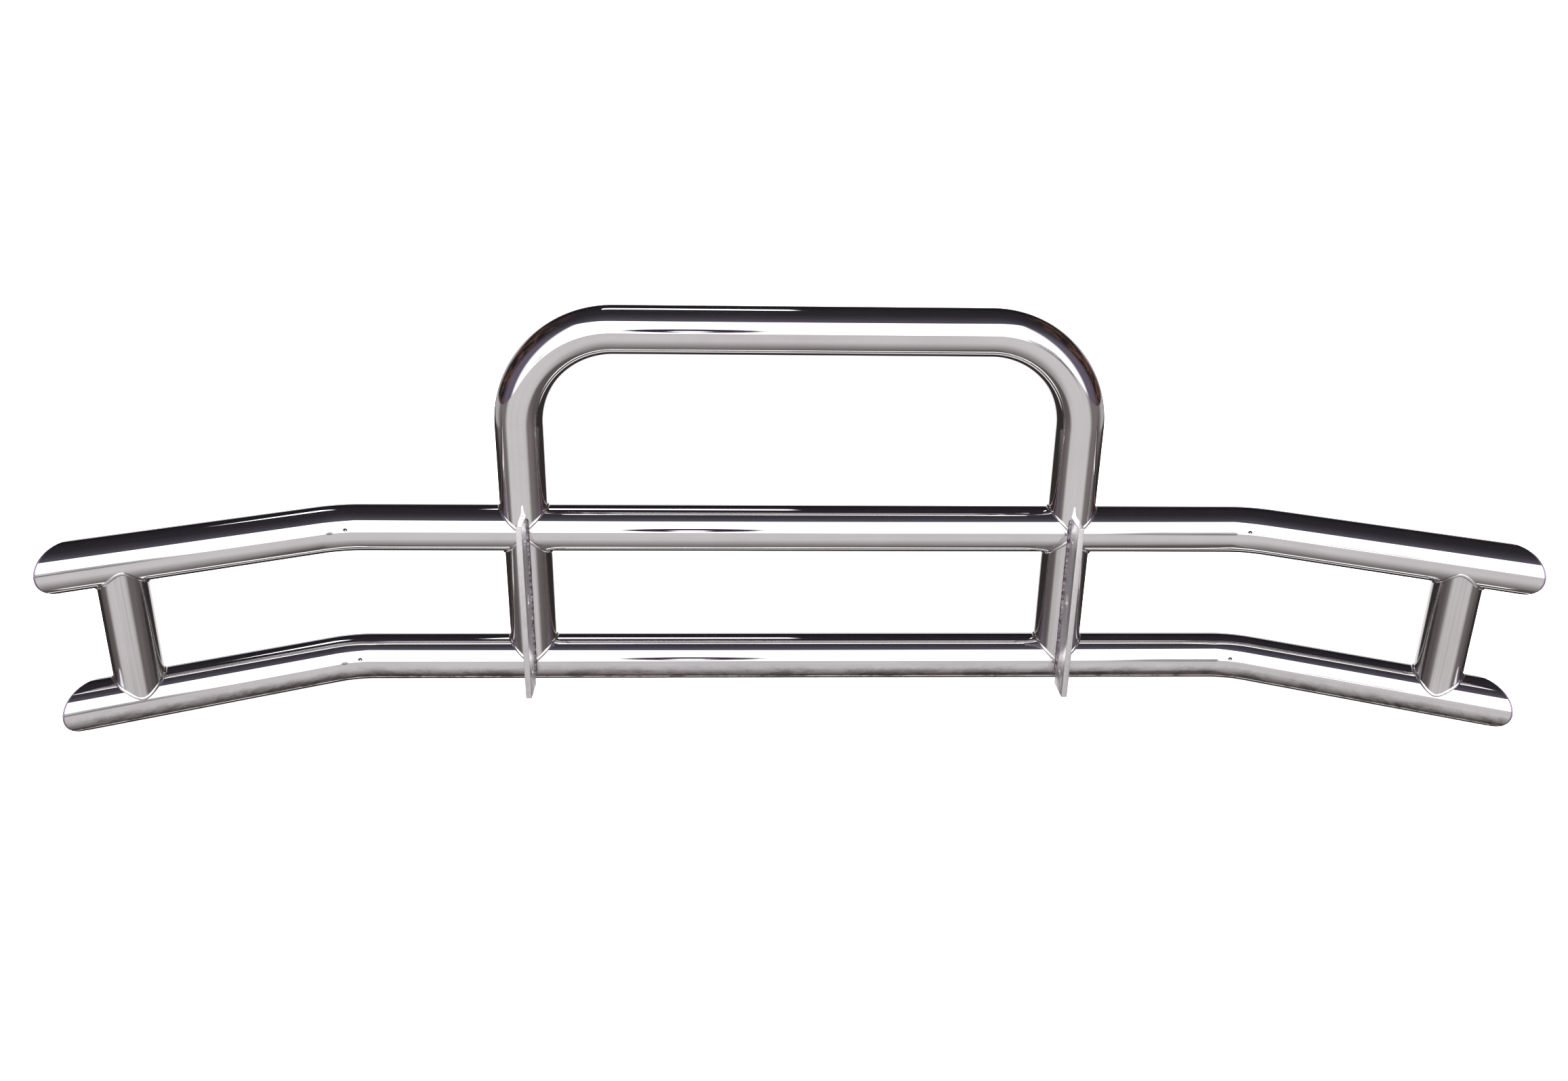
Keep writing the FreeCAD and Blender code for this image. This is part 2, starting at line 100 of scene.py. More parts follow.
# Light in the studio, as strengths.
BACKGROUND = 3.4
WALL_LIGHT = 1.8
LAMP_LIGHT = 2.4
FLOOR_GLOW = 0.9

# The camera that was fitted to the photo.
CAMERA_PLACE = Vector((106.82, 1922.07, 1042.68)) * MM
CAMERA_YAW = math.radians(2.336)
CAMERA_PITCH = math.radians(21.552)
CAMERA_ROLL = math.radians(0.971)
LENS = 30.32
SENSOR = 36.0

UP = Vector((0, 0, 1))
BACK = Vector((0, 1, 0))
ACROSS = Vector((1, 0, 0))


def middle(node):
    """The centre of a CAD node's box."""
    low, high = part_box(node)
    return (low + high) / 2


# Positions read from the frame.
hoop_low, hoop_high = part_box("hoop")
TUBE_RADIUS = (hoop_high.y - hoop_low.y) / 2
RAIL_Y = middle("hoop").y
UPPER_Z = middle("upper_crossbar").z
LOWER_Z = middle("lower_crossbar").z
HOOP_Z = hoop_high.z - TUBE_RADIUS
HOOP_X = hoop_high.x - TUBE_RADIUS
UPRIGHT_X = middle("left_lower_upright").x
STRUT = middle("left_end_strut")


# ---------------------------------------------------------------- meshes
def make_piece(name, verts, faces, material, slot, stands_for=(), runs=None, sharp=(), body="root"):
    """A new mesh object that rides on a body and stands for CAD nodes.

    runs holds a point for each vertex, for textures that follow the piece. sharp lists hard edges.
    """
    mesh = bpy.data.meshes.new(name)
    mesh.from_pydata([tuple(v) for v in verts], [], faces)
    if runs:
        layer = mesh.attributes.new("run", "FLOAT_VECTOR", "POINT")
        layer.data.foreach_set("vector", [c for run in runs for c in run])
    mesh.update()
    mesh.shade_smooth()
    if sharp:
        hard = {tuple(sorted(pair)) for pair in sharp}
        for edge in mesh.edges:
            edge.use_edge_sharp = tuple(sorted(edge.vertices)) in hard
    mesh.materials.append(material)
    piece = bpy.data.objects.new(name, mesh)
    bpy.context.scene.collection.objects.link(piece)
    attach(piece, body)
    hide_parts(*stands_for)
    return piece


def grid_faces(rows, columns, start=0, flip=False):
    """Quads between rows of points that run round a ring."""
    faces = []
    for i in range(rows - 1):
        for j in range(columns):
            k = (j + 1) % columns
            quad = (
                start + i * columns + j,
                start + i * columns + k,
                start + (i + 1) * columns + k,
                start + (i + 1) * columns + j,
            )
            faces.append(quad[::-1] if flip else quad)
    return faces


class Station:
    """One cross-section of a tube: its centre, the directions across it, and how far along it lies."""

    def __init__(self, centre, across, up, travelled):
        self.centre = centre
        self.across = across
        self.up = up
        self.travelled = travelled

    def point(self, angle, radius):
        return self.centre + (self.across * math.cos(angle) + self.up * math.sin(angle)) * radius


def route(corner_points, up, steps_per_metre):
    """Stations along straight runs joined by bends. up is square to the plane that the path lies in."""
    points = [Vector(p) for p in corner_points]
    heads = [(b - a).normalized() for a, b in zip(points, points[1:])]
    stations = []
    travelled = 0.0
    position = points[0]

    def add_station(where, heading, distance):
        stations.append(Station(where, heading.cross(up).normalized(), up, distance))

    for i, heading in enumerate(heads):
        last = i == len(heads) - 1
        turn = 0.0 if last else heading.angle(heads[i + 1])
        stop = points[i + 1] - heading * (BEND_RADIUS * math.tan(turn / 2))
        length = (stop - position).length
        count = max(2, round(steps_per_metre * length))
        for k in range(1 if stations else 0, count + 1):
            along = length * k / count
            add_station(position + heading * along, heading, travelled + along)
        travelled += length
        if last:
            break
        axis = heading.cross(heads[i + 1]).normalized()
        centre = stop + axis.cross(heading) * BEND_RADIUS
        count = max(4, math.ceil(turn / ARC_STEP))
        for k in range(1, count + 1):
            spin = Matrix.Rotation(turn * k / count, 3, axis)
            position = centre + spin @ (stop - centre)
            add_station(position, spin @ heading, travelled + BEND_RADIUS * turn * k / count)
        travelled += BEND_RADIUS * turn
    return stations


def tube(name, stations, trims, outside=TUBE_RADIUS, **facts):
    """A hollow tube, whose ends are moved by trims: functions of a point and the way out of that end."""
    angles = [2 * math.pi * j / AROUND for j in range(AROUND)]
    verts, runs = [], []
    out_first = (stations[0].centre - stations[1].centre).normalized()
    out_last = (stations[-1].centre - stations[-2].centre).normalized()

    def add_ring(station, radius, trim=None, out=None, back=0.0):
        for angle in angles:
            p = station.point(angle, radius)
            if trim:
                p = trim(p, out) - out * back
            verts.append(p)
            spread = Vector((math.cos(angle), math.sin(angle))) * outside
            runs.append((spread.x, spread.y, station.travelled))

    for radius in (outside, outside - WALL):
        add_ring(stations[0], radius, trims[0], out_first)
        add_ring(stations[0], radius, trims[0], out_first, SUPPORT)
        for station in stations[1:-1]:
            add_ring(station, radius)
        add_ring(stations[-1], radius, trims[1], out_last, SUPPORT)
        add_ring(stations[-1], radius, trims[1], out_last)
    rows = len(stations) + 2
    inner = rows * AROUND
    last = (rows - 1) * AROUND
    faces = grid_faces(rows, AROUND) + grid_faces(rows, AROUND, inner, flip=True)
    sharp = []
    for j in range(AROUND):
        k = (j + 1) % AROUND
        faces.append((inner + j, inner + k, k, j))
        faces.append((last + j, last + k, inner + last + k, inner + last + j))
        for start in (0, last, inner, inner + last):
            sharp.append((start + j, start + k))
    return make_piece(name, verts, faces, runs=runs, sharp=sharp, **facts)


def to_plane(origin, normal):
    """A trim that slides a point along the tube to a plane."""
    return lambda p, heading: p + heading * ((origin - p).dot(normal) / heading.dot(normal))


def joint_height(aside, radius, tip):
    """How far from a rail's axis a tube standing on it ends, aside from the middle of the joint."""
    return math.sqrt(max(0.0, TUBE_RADIUS**2 - aside**2 * (1 - (tip / radius) ** 2)))


def to_rail(axis_point, axis_direction, radius, tip):
    """A trim that slides a point along the tube to the near side of a rail."""

    def trim(p, heading):
        across = axis_direction.cross(heading).normalized()
        offset = p - axis_point
        level = offset.dot(heading)
        return p - heading * (level + joint_height(offset.dot(across), radius, tip))

    return trim


def end_cap(name, origin, heading, normal, node):
    """The plate that closes a mitred end: a fine seam against the tube, and a rounded rim."""
    side = Vector((-heading.y, heading.x, 0))
    half_way = TUBE_RADIUS / 2
    profile = [(half_way, -CAP_THICKNESS), (TUBE_RADIUS - CAP_SEAM - NEAR, -CAP_THICKNESS)]
    for k in range(SEAM_STEPS + 1):
        a = math.pi / 2 * k / SEAM_STEPS
        inset, lift = CAP_SEAM * (1 - math.sin(a)), CAP_SEAM * (1 - math.cos(a))
        profile.append((TUBE_RADIUS - inset, -CAP_THICKNESS + lift))
    profile += [(TUBE_RADIUS, -CAP_THICKNESS + CAP_SEAM + NEAR), (TUBE_RADIUS, -CAP_RIM - NEAR)]
    for k in range(RIM_STEPS + 1):
        a = math.pi / 2 * k / RIM_STEPS
        profile.append((TUBE_RADIUS - CAP_RIM * (1 - math.cos(a)), -CAP_RIM * (1 - math.sin(a))))
    profile += [(TUBE_RADIUS - CAP_RIM - NEAR, 0.0), (half_way, 0.0)]
    verts, runs = [], []
    for radius, offset in [(0.0, -CAP_THICKNESS)] + profile + [(0.0, 0.0)]:
        for j in range(AROUND if radius else 1):
            a = 2 * math.pi * j / AROUND
            runs.append((radius, a * TUBE_RADIUS, offset))
            p = origin + (side * math.cos(a) + UP * math.sin(a)) * radius
            verts.append(p + heading * ((origin + normal * offset - p).dot(normal) / heading.dot(normal)))
    faces = grid_faces(len(profile), AROUND, 1)
    last = len(verts) - 1
    top = 1 + (len(profile) - 1) * AROUND
    for j in range(AROUND):
        k = (j + 1) % AROUND
        faces.append((0, 1 + k, 1 + j))
        faces.append((last, top + j, top + k))
    if side.cross(UP).dot(heading) < 0:
        faces = [f[::-1] for f in faces]
    return make_piece(name, verts, faces, cap_steel, "mirror_tube", [node], runs=runs)


def bead(name, centres, frames, radii, closed, material, slot, stands_for, around=BEAD_AROUND):
    """A weld bead: rings round a line of centres. frames holds two directions across each ring.

    radii gives the radius for a ring's number, an angle round it and the distance along the bead.
    """
    verts, runs = [], []
    travelled = 0.0
    for i, (centre, (u, v)) in enumerate(zip(centres, frames)):
        if i:
            travelled += (centre - centres[i - 1]).length
        for j in range(around):
            a = 2 * math.pi * j / around
            radius = radii(i, a, travelled)
            verts.append(centre + (u * math.cos(a) + v * math.sin(a)) * radius)
            runs.append((math.cos(a) * BEAD, math.sin(a) * BEAD, travelled))
    rows = len(centres)
    faces = grid_faces(rows, around)
    if closed:
        for j in range(around):
            k = (j + 1) % around
            faces.append(((rows - 1) * around + j, (rows - 1) * around + k, k, j))
    else:
        for row, turn in ((0, -1), (rows - 1, 1)):
            verts.append(centres[row])
            runs.append(runs[row * around])
            for j in range(around):
                k = (j + 1) % around
                fan = (len(verts) - 1, row * around + j, row * around + k)
                faces.append(fan if turn > 0 else fan[::-1])
    if frames[0][0].cross(frames[0][1]).dot(centres[1] - centres[0]) < 0:
        faces = [f[::-1] for f in faces]
    return make_piece(name, verts, faces, material, slot, stands_for, runs=runs)


def joint_bead(
    name, axis_point, rail_direction, outward, node, outside=TUBE_RADIUS, tip=TIP_ROUND
):
    """The dressed bead round a tube that stands on a rail. outward points from the rail along the tube."""
    aside = outward.cross(rail_direction).normalized()
    small = 0.01
    points, frames = [], []

    def corner(t):
        away = (rail_direction * math.cos(t) + aside * math.sin(t)) * outside
        return axis_point + away + outward * joint_height(outside * math.sin(t), outside, tip)

    for i in range(BEAD_STEPS):
        t = 2 * math.pi * i / BEAD_STEPS
        p = corner(t)
        along = (corner(t + small) - corner(t - small)).normalized()
        tube_out = rail_direction * math.cos(t) + aside * math.sin(t)
        from_axis = p - axis_point
        rail_out = (from_axis - rail_direction * from_axis.dot(rail_direction)).normalized()
        out = (tube_out + rail_out).normalized()
        out = (out - along * out.dot(along)).normalized()
        proud = BEAD_PROUD_TIP + (BEAD_PROUD_CROTCH - BEAD_PROUD_TIP) * math.cos(t) ** 2
        points.append(p + out * (proud - BEAD))
        frames.append((out, out.cross(along)))

    def radius(i, a, travelled):
        ripple = math.sin(travelled / RIPPLE_PITCH * 2 * math.pi - 0.9 * math.cos(a)) * RIPPLE_HEIGHT
        return BEAD + ripple * max(0.0, math.cos(a))

    return bead(name, points, frames, radius, True, polished_weld, "polished_weld", [node])


def plate_bead(name, face_x, outward, low, high, node, seed):
    """The rough bead down one side of a plate's front edge."""
    count = round((high - low) / ROUGH_STEP)
    tip = ROUGH_TAPER / 10
    centres, frames = [], []
    for i in range(count + 1):
        z = low + (high - low) * i / count
        drift = noise.noise(Vector((seed, z * 60, 0))) * ROUGH_DRIFT
        centres.append(Vector((face_x + outward * ROUGH_OFFSET, RAIL_Y + TUBE_RADIUS + drift, z)))
        frames.append((Vector((outward, 0, 0)), BACK))

    def radius(i, a, travelled):
        ends = min(1.0, (min(i, count - i) * ROUGH_STEP + tip) / ROUGH_TAPER)
        ripple = abs(math.sin(travelled / ROUGH_PITCH * math.pi + 0.8 * math.cos(a)))
        place = Vector((math.cos(a) * 0.9 + seed, math.sin(a) * 0.9, travelled / ROUGH_LUMP_LENGTH))
        lump = noise.noise(place) + 0.5 * noise.noise(place * 2.7)
        return (ROUGH_BEAD + ripple * ROUGH_RIPPLE + lump * ROUGH_LUMP) * math.sqrt(ends)

    return bead(
        name, centres, frames, radius, False, raw_weld, "raw_weld", [node], around=ROUGH_AROUND
    )


def plate(name, node):
    """A flat bar on edge with two round holes and a slot, its edges eased."""
    low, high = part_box(node)
    centre = (low + high) / 2
    curve = bpy.data.curves.new(name, "CURVE")
    curve.dimensions = "2D"
    curve.fill_mode = "BOTH"
    curve.bevel_depth = PLATE_EASE
    curve.bevel_resolution = 2
    curve.extrude = (high.x - low.x) / 2 - PLATE_EASE
    curve.offset = -PLATE_EASE

    def outline(points):
        spline = curve.splines.new("POLY")
        spline.points.add(len(points) - 1)
        for point, (a, b) in zip(spline.points, points):
            point.co = (a, b, 0, 1)
        spline.use_cyclic_u = True

    def stadium(width, height, level, turns=24):
        straight = (height - width) / 2
        points = []
        for k in range(2 * turns):
            a = math.pi * k / turns
            lift = straight if k < turns else -straight
            points.append((math.cos(a) * width / 2, level + math.sin(a) * width / 2 + lift))
        return points

    edge = []
    for sy, sz, start in ((1, 1, 0), (-1, 1, 90), (-1, -1, 180), (1, -1, 270)):
        for k in range(5):
            a = math.radians(start + 22.5 * k)
            edge.append((
                sy * ((high.y - low.y) / 2 - PLATE_CORNER) + PLATE_CORNER * math.cos(a),
                sz * ((high.z - low.z) / 2 - PLATE_CORNER) + PLATE_CORNER * math.sin(a),
            ))
    outline(edge)
    outline(stadium(BOLT_HOLE, BOLT_HOLE, UPPER_Z - centre.z)[::-1])
    outline(stadium(BOLT_HOLE, BOLT_HOLE, LOWER_Z - centre.z)[::-1])
    outline(stadium(SLOT_WIDTH, SLOT_HEIGHT, UPPER_Z - SLOT_DROP - centre.z)[::-1])
    helper = bpy.data.objects.new(name + "_outline", curve)
    bpy.context.scene.collection.objects.link(helper)
    flat = bpy.data.meshes.new_from_object(helper.evaluated_get(bpy.context.evaluated_depsgraph_get()))
    bpy.data.objects.remove(helper)
    on_edge = Matrix(((0, 0, 1, 0), (1, 0, 0, 0), (0, 1, 0, 0), (0, 0, 0, 1)))
    flat.transform(Matrix.Translation(centre) @ on_edge)
    shape = bmesh.new()
    shape.from_mesh(flat)
    bmesh.ops.remove_doubles(shape, verts=shape.verts, dist=1e-6)
    bmesh.ops.recalc_face_normals(shape, faces=shape.faces)
    shape.verts.index_update()
    verts = [v.co.copy() for v in shape.verts]
    faces = [[v.index for v in f.verts] for f in shape.faces]
    shape.free()
    runs = [(v.x, v.y, v.z) for v in verts]
    piece = make_piece(name, verts, faces, satin, "satin_plate", [node], runs=runs)
    piece.data.set_sharp_from_angle(angle=math.radians(25))
    return piece


# ---------------------------------------------------------------- materials
class Nodes:
    """A short way to build a node tree."""

    def __init__(self, tree):
        self.tree = tree
        tree.nodes.clear()

    def add(self, kind, inputs=None, **settings):
        node = self.tree.nodes.new(kind)
        for key, value in settings.items():
            setattr(node, key, value)
        for key, value in (inputs or {}).items():
            socket = node.inputs[key]
            if isinstance(value, bpy.types.NodeSocket):
                self.tree.links.new(value, socket)
            else:
                socket.default_value = value
        return node

    def math(self, operation, a, b=0.0, c=0.0):
        return self.add("ShaderNodeMath", {0: a, 1: b, 2: c}, operation=operation).outputs[0]

    def smooth(self, value, low, high, start=0.0, end=1.0):
        """Goes smoothly from start to end as value goes from low to high."""
        node = self.add(
            "ShaderNodeMapRange",
            {"Value": value, "From Min": low, "From Max": high, "To Min": start, "To Max": end},
            interpolation_type="SMOOTHSTEP",
        )
        return node.outputs["Result"]

    def ramp(self, value, stops):
        node = self.add("ShaderNodeValToRGB", {"Fac": value})
        ramp = node.color_ramp
        while len(ramp.elements) < len(stops):
            ramp.elements.new(0.5)
        for element, (position, colour) in zip(ramp.elements, stops):
            element.position = position
            element.color = (*colour, 1.0)
        return node.outputs["Color"]

    def blend(self, factor, a, b):
        node = self.add("ShaderNodeMix", data_type="RGBA")
        for index, value in ((0, factor), (6, a), (7, b)):
            if isinstance(value, bpy.types.NodeSocket):
                self.tree.links.new(value, node.inputs[index])
            elif index == 0:
                node.inputs[index].default_value = value
            else:
                node.inputs[index].default_value = (*value, 1.0)
        return node.outputs[2]

    def noise(self, vector, scale, detail=3.0, roughness=0.5):
        node = self.add(
            "ShaderNodeTexNoise",
            {"Vector": vector, "Scale": scale, "Detail": detail, "Roughness": roughness},
        )
        return node.outputs["Fac"]

    def stretched(self, vector, scale):
        node = self.add("ShaderNodeMapping", {"Vector": vector, "Scale": scale})
        return node.outputs["Vector"]


def new_material(name):
    material = bpy.data.materials.new(name)
    material.use_nodes = True
    return material, Nodes(material.node_tree)


def finish_material(n, colour, roughness, height, depth):
    """Joins colour, roughness and relief of the given depth to a metal shader."""
    bump = n.add("ShaderNodeBump", {"Height": height, "Distance": depth, "Strength": 1.0})
    inputs = {"Base Color": colour, "Metallic": 1.0, "Roughness": roughness, "Normal": bump.outputs["Normal"]}
    shader = n.add("ShaderNodeBsdfPrincipled", inputs)
    n.add("ShaderNodeOutputMaterial", {"Surface": shader.outputs["BSDF"]})


def tube_material(name, bright, dull, smooth_rough, worn_rough, depth, lined, bottom_darkening=0.0):
    """Polished steel tube: fine polishing lines along the run, with faint smudges.

    lined says how strongly the polishing lines show, and the last argument how strongly the tube turns darker
    brown, in patches, towards its bottom.
    """
    material, n = new_material(name)
    run = n.add("ShaderNodeAttribute", attribute_name="run").outputs["Vector"]
    place = n.add("ShaderNodeTexCoord").outputs["Object"]
    lines = n.noise(n.stretched(run, (1400.0, 1400.0, 9.0)), 1.0, 2.0)
    wide_lines = n.noise(n.stretched(run, (240.0, 240.0, 2.5)), 1.0, 2.0)
    smudge = n.noise(place, 9.0, 5.0, 0.6)
    colour = n.blend(n.smooth(smudge, 0.35, 0.75), bright, dull)
    toned = n.math("MULTIPLY", n.smooth(wide_lines, 0.35, 0.7), lined)
    colour = n.blend(toned, colour, tuple(0.72 * c for c in dull))
    rough = n.smooth(smudge, 0.45, 0.8, smooth_rough, worn_rough)
    rough = n.math("MULTIPLY_ADD", lines, smooth_rough * 0.6, rough)
    if bottom_darkening:
        # Darker brown, rougher patches low down on the tube, fading out between 6 and 44 mm above the floor.
        split = n.add("ShaderNodeSeparateXYZ", {"Vector": place})
        low = n.smooth(split.outputs[2], 0.006, 0.044, 1, 0)
        spots = n.smooth(n.noise(n.stretched(place, (22.0, 60.0, 60.0)), 1.0, 6.0, 0.7), 0.42, 0.62)
        bottom_patches = n.math("MULTIPLY", n.math("MULTIPLY", low, spots), bottom_darkening)
        colour = n.blend(bottom_patches, colour, (0.2, 0.17, 0.16))
        rough = n.math("MULTIPLY_ADD", bottom_patches, 0.16, rough)
    height = n.math("MULTIPLY_ADD", wide_lines, 0.6, n.math("MULTIPLY", lines, 0.4))
    finish_material(n, colour, rough, height, depth)
    return material


def cap_material(name):
    """A satin ground cap: fine swirl marks on its face, and a dark heat tint left round its welded rim."""
    material, n = new_material(name)
    run = n.add("ShaderNodeAttribute", attribute_name="run").outputs["Vector"]
    place = n.add("ShaderNodeTexCoord").outputs["Object"]
    split = n.add("ShaderNodeSeparateXYZ", {"Vector": run})
    swirl = n.noise(n.stretched(run, (2200.0, 40.0, 1.0)), 1.0, 3.0)
    smudge = n.noise(place, 25.0, 4.0, 0.6)
    colour = n.blend(n.smooth(smudge, 0.35, 0.7), (0.92, 0.91, 0.92), (0.8, 0.79, 0.8))
    near_rim = n.smooth(split.outputs[0], TUBE_RADIUS - CAP_RIM, TUBE_RADIUS - CAP_RIM / 3)
    colour = n.blend(n.math("MULTIPLY", near_rim, 0.9), colour, (0.3, 0.2, 0.33))
    rough = n.math("MULTIPLY_ADD", swirl, 0.12, 0.36)
    finish_material(n, colour, rough, swirl, 0.01 * MM)
    return material


def weld_material(name, bright, dark, low_rough, high_rough, depth):
    """Weld metal: a patchy heat tint, and fine grains in its roughness and relief."""
    material, n = new_material(name)
    place = n.add("ShaderNodeTexCoord").outputs["Object"]
    tint = n.noise(place, 120.0, 4.0, 0.6)
    grain = n.noise(place, 600.0, 3.0, 0.6)
    colour = n.blend(n.smooth(tint, 0.3, 0.7), dark, bright)
    rough = n.smooth(grain, 0.3, 0.7, low_rough, high_rough)
    finish_material(n, colour, rough, grain, depth)
    return material


def plate_material(name):
    """Satin flat bar: long fine brush lines, with scattered scuffs."""
    material, n = new_material(name)
    place = n.add("ShaderNodeTexCoord").outputs["Object"]
    lines = n.noise(n.stretched(place, (1500.0, 1500.0, 30.0)), 1.0, 3.0)
    scuff = n.noise(place, 35.0, 5.0, 0.65)
    colour = n.blend(n.smooth(scuff, 0.35, 0.7), (0.84, 0.82, 0.83), (0.66, 0.64, 0.66))
    rough = n.math("MULTIPLY_ADD", lines, 0.16, n.smooth(scuff, 0.3, 0.7, 0.22, 0.36))
    height = n.math("MULTIPLY_ADD", scuff, 0.5, n.math("MULTIPLY", lines, 0.5))
    finish_material(n, colour, rough, height, 0.06 * MM)
    return material


mirror = tube_material(
    "mirror_steel", (0.93, 0.925, 0.93), (0.87, 0.86, 0.865), 0.018, 0.05, depth=0.001 * MM, lined=0.12
)
low_mirror = tube_material(
    "floor_side_steel",
    (0.92, 0.91, 0.92),
    (0.84, 0.83, 0.835),
    0.025,
    0.07,
    depth=0.001 * MM,
    lined=0.2,
    bottom_darkening=1.0,
)
buffed = tube_material(
    "buffed_steel", (0.88, 0.87, 0.875), (0.79, 0.78, 0.78), 0.09, 0.16, depth=0.01 * MM, lined=0.5
)
polished_weld = weld_material(
    "dressed_weld", (0.93, 0.92, 0.93), (0.7, 0.68, 0.7), 0.06, 0.16, depth=0.04 * MM
)
raw_weld = weld_material("raw_weld", (0.62, 0.56, 0.6), (0.12, 0.1, 0.13), 0.18, 0.5, depth=0.4 * MM)
satin = plate_material("satin_flat_bar")
cap_steel = cap_material("cap_steel")


# ---------------------------------------------------------------- tubes
wing_heading = Vector((math.cos(SWEEP), math.sin(SWEEP), 0))
end_normal = Vector((math.cos(END_TURN), math.sin(END_TURN), 0))


def mirrored(v, side):
    return Vector((v.x * side, v.y, v.z))


# The end strut stands on the wing's axis, and the cap's rear corner is the wing's farthest point.
corner_x = STRUT.x - (STRUT.y - RAIL_Y) / math.tan(SWEEP)
wing_rear = Vector((-wing_heading.y, wing_heading.x, 0))
cap_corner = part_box("upper_left_end_cap")[1]
WING_END = cap_corner - (wing_heading + wing_rear) * TUBE_RADIUS
WING_END.z = 0


def rail(name, height, node, material):
    """A rail with its two swept wings."""
    level = Vector((0, 0, height))
    points = [
        mirrored(WING_END, -1) + level,
        Vector((-corner_x, RAIL_Y, height)),
        Vector((corner_x, RAIL_Y, height)),
        WING_END + level,
    ]
    trims = []
    for side in (-1, 1):
        normal = mirrored(end_normal, side)
        trims.append(to_plane(mirrored(WING_END, side) + level - normal * CAP_THICKNESS, normal))
    for side_name, side in SIDES.items():
        end_cap(
            f"{name}_{side_name}_cap",
            mirrored(WING_END, side) + level,
            mirrored(wing_heading, side),
            mirrored(end_normal, side),
            node.replace("crossbar", f"{side_name}_end_cap"),
        )
    stations = route(points, UP, BENT_STEPS)
    return tube(name, stations, trims, material=material, slot="mirror_tube", stands_for=[node])


rail("upper_rail_tube", UPPER_Z, "upper_crossbar", mirror)
rail("lower_rail_tube", LOWER_Z, "lower_crossbar", low_mirror)

hoop_route = route(
    [
        (-HOOP_X, RAIL_Y, UPPER_Z),
        (-HOOP_X, RAIL_Y, HOOP_Z),
        (HOOP_X, RAIL_Y, HOOP_Z),
        (HOOP_X, RAIL_Y, UPPER_Z),
    ],
    BACK,
    BENT_STEPS,
)
on_upper = to_rail(Vector((0, RAIL_Y, UPPER_Z)), ACROSS, TUBE_RADIUS, TIP_ROUND)
on_lower = to_rail(Vector((0, RAIL_Y, LOWER_Z)), ACROSS, TUBE_RADIUS, TIP_ROUND)
tube("hoop_tube", hoop_route, [on_upper, on_upper], material=mirror, slot="mirror_tube", stands_for=["hoop"])

for side_name, side in SIDES.items():
    ends = [(side * UPRIGHT_X, RAIL_Y, z) for z in (LOWER_Z, UPPER_Z)]
    tube(
        f"{side_name}_upright_tube",
        route(ends, BACK, POST_STEPS),
        [on_lower, on_upper],
        material=buffed,
        slot="buffed_tube",
        stands_for=[f"{side_name}_lower_upright"],
    )
    ends = [Vector((side * STRUT.x, STRUT.y, z)) for z in (LOWER_Z, UPPER_Z)]
    heading = mirrored(wing_heading, side)
    tube(
        f"{side_name}_strut_tube",
        route(ends, BACK, POST_STEPS),
        [to_rail(end, heading, STRUT_RADIUS, 0.0) for end in ends],
        STRUT_RADIUS,
        material=buffed,
        slot="buffed_tube",
        stands_for=[f"{side_name}_end_strut"],
    )

# ---------------------------------------------------------------- welds and plates
for side_name, side in SIDES.items():
    leg = Vector((side * HOOP_X, RAIL_Y, UPPER_Z))
    joint_bead(f"{side_name}_hoop_bead", leg, ACROSS, UP, f"{side_name}_hoop_weld")
    for z, outward, end in ((UPPER_Z, -UP, "top"), (LOWER_Z, UP, "foot")):
        foot = Vector((side * UPRIGHT_X, RAIL_Y, z))
        weld = f"{side_name}_upright_{end}_weld"
        joint_bead(f"{side_name}_upright_{end}_bead", foot, ACROSS, outward, weld)
        foot = Vector((side * STRUT.x, STRUT.y, z))
        heading = mirrored(wing_heading, side)
        weld = f"{side_name}_strut_{end}_weld"
        joint_bead(f"{side_name}_strut_{end}_bead", foot, heading, outward, weld, STRUT_RADIUS, 0.0)
    plate(f"{side_name}_plate", f"{side_name}_mounting_plate")
    plate_low, plate_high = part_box(f"{side_name}_mounting_plate")
    for number, (face, outward) in enumerate((("outer", side), ("inner", -side))):
        weld = f"{side_name}_plate_{face}_weld"
        weld_low, weld_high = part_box(weld)
        plate_bead(
            f"{side_name}_plate_{face}_bead",
            plate_high.x if outward > 0 else plate_low.x,
            outward,
            weld_low.z,
            weld_high.z,
            weld,
            seed=number * 7.3 + side * 3.1,
        )


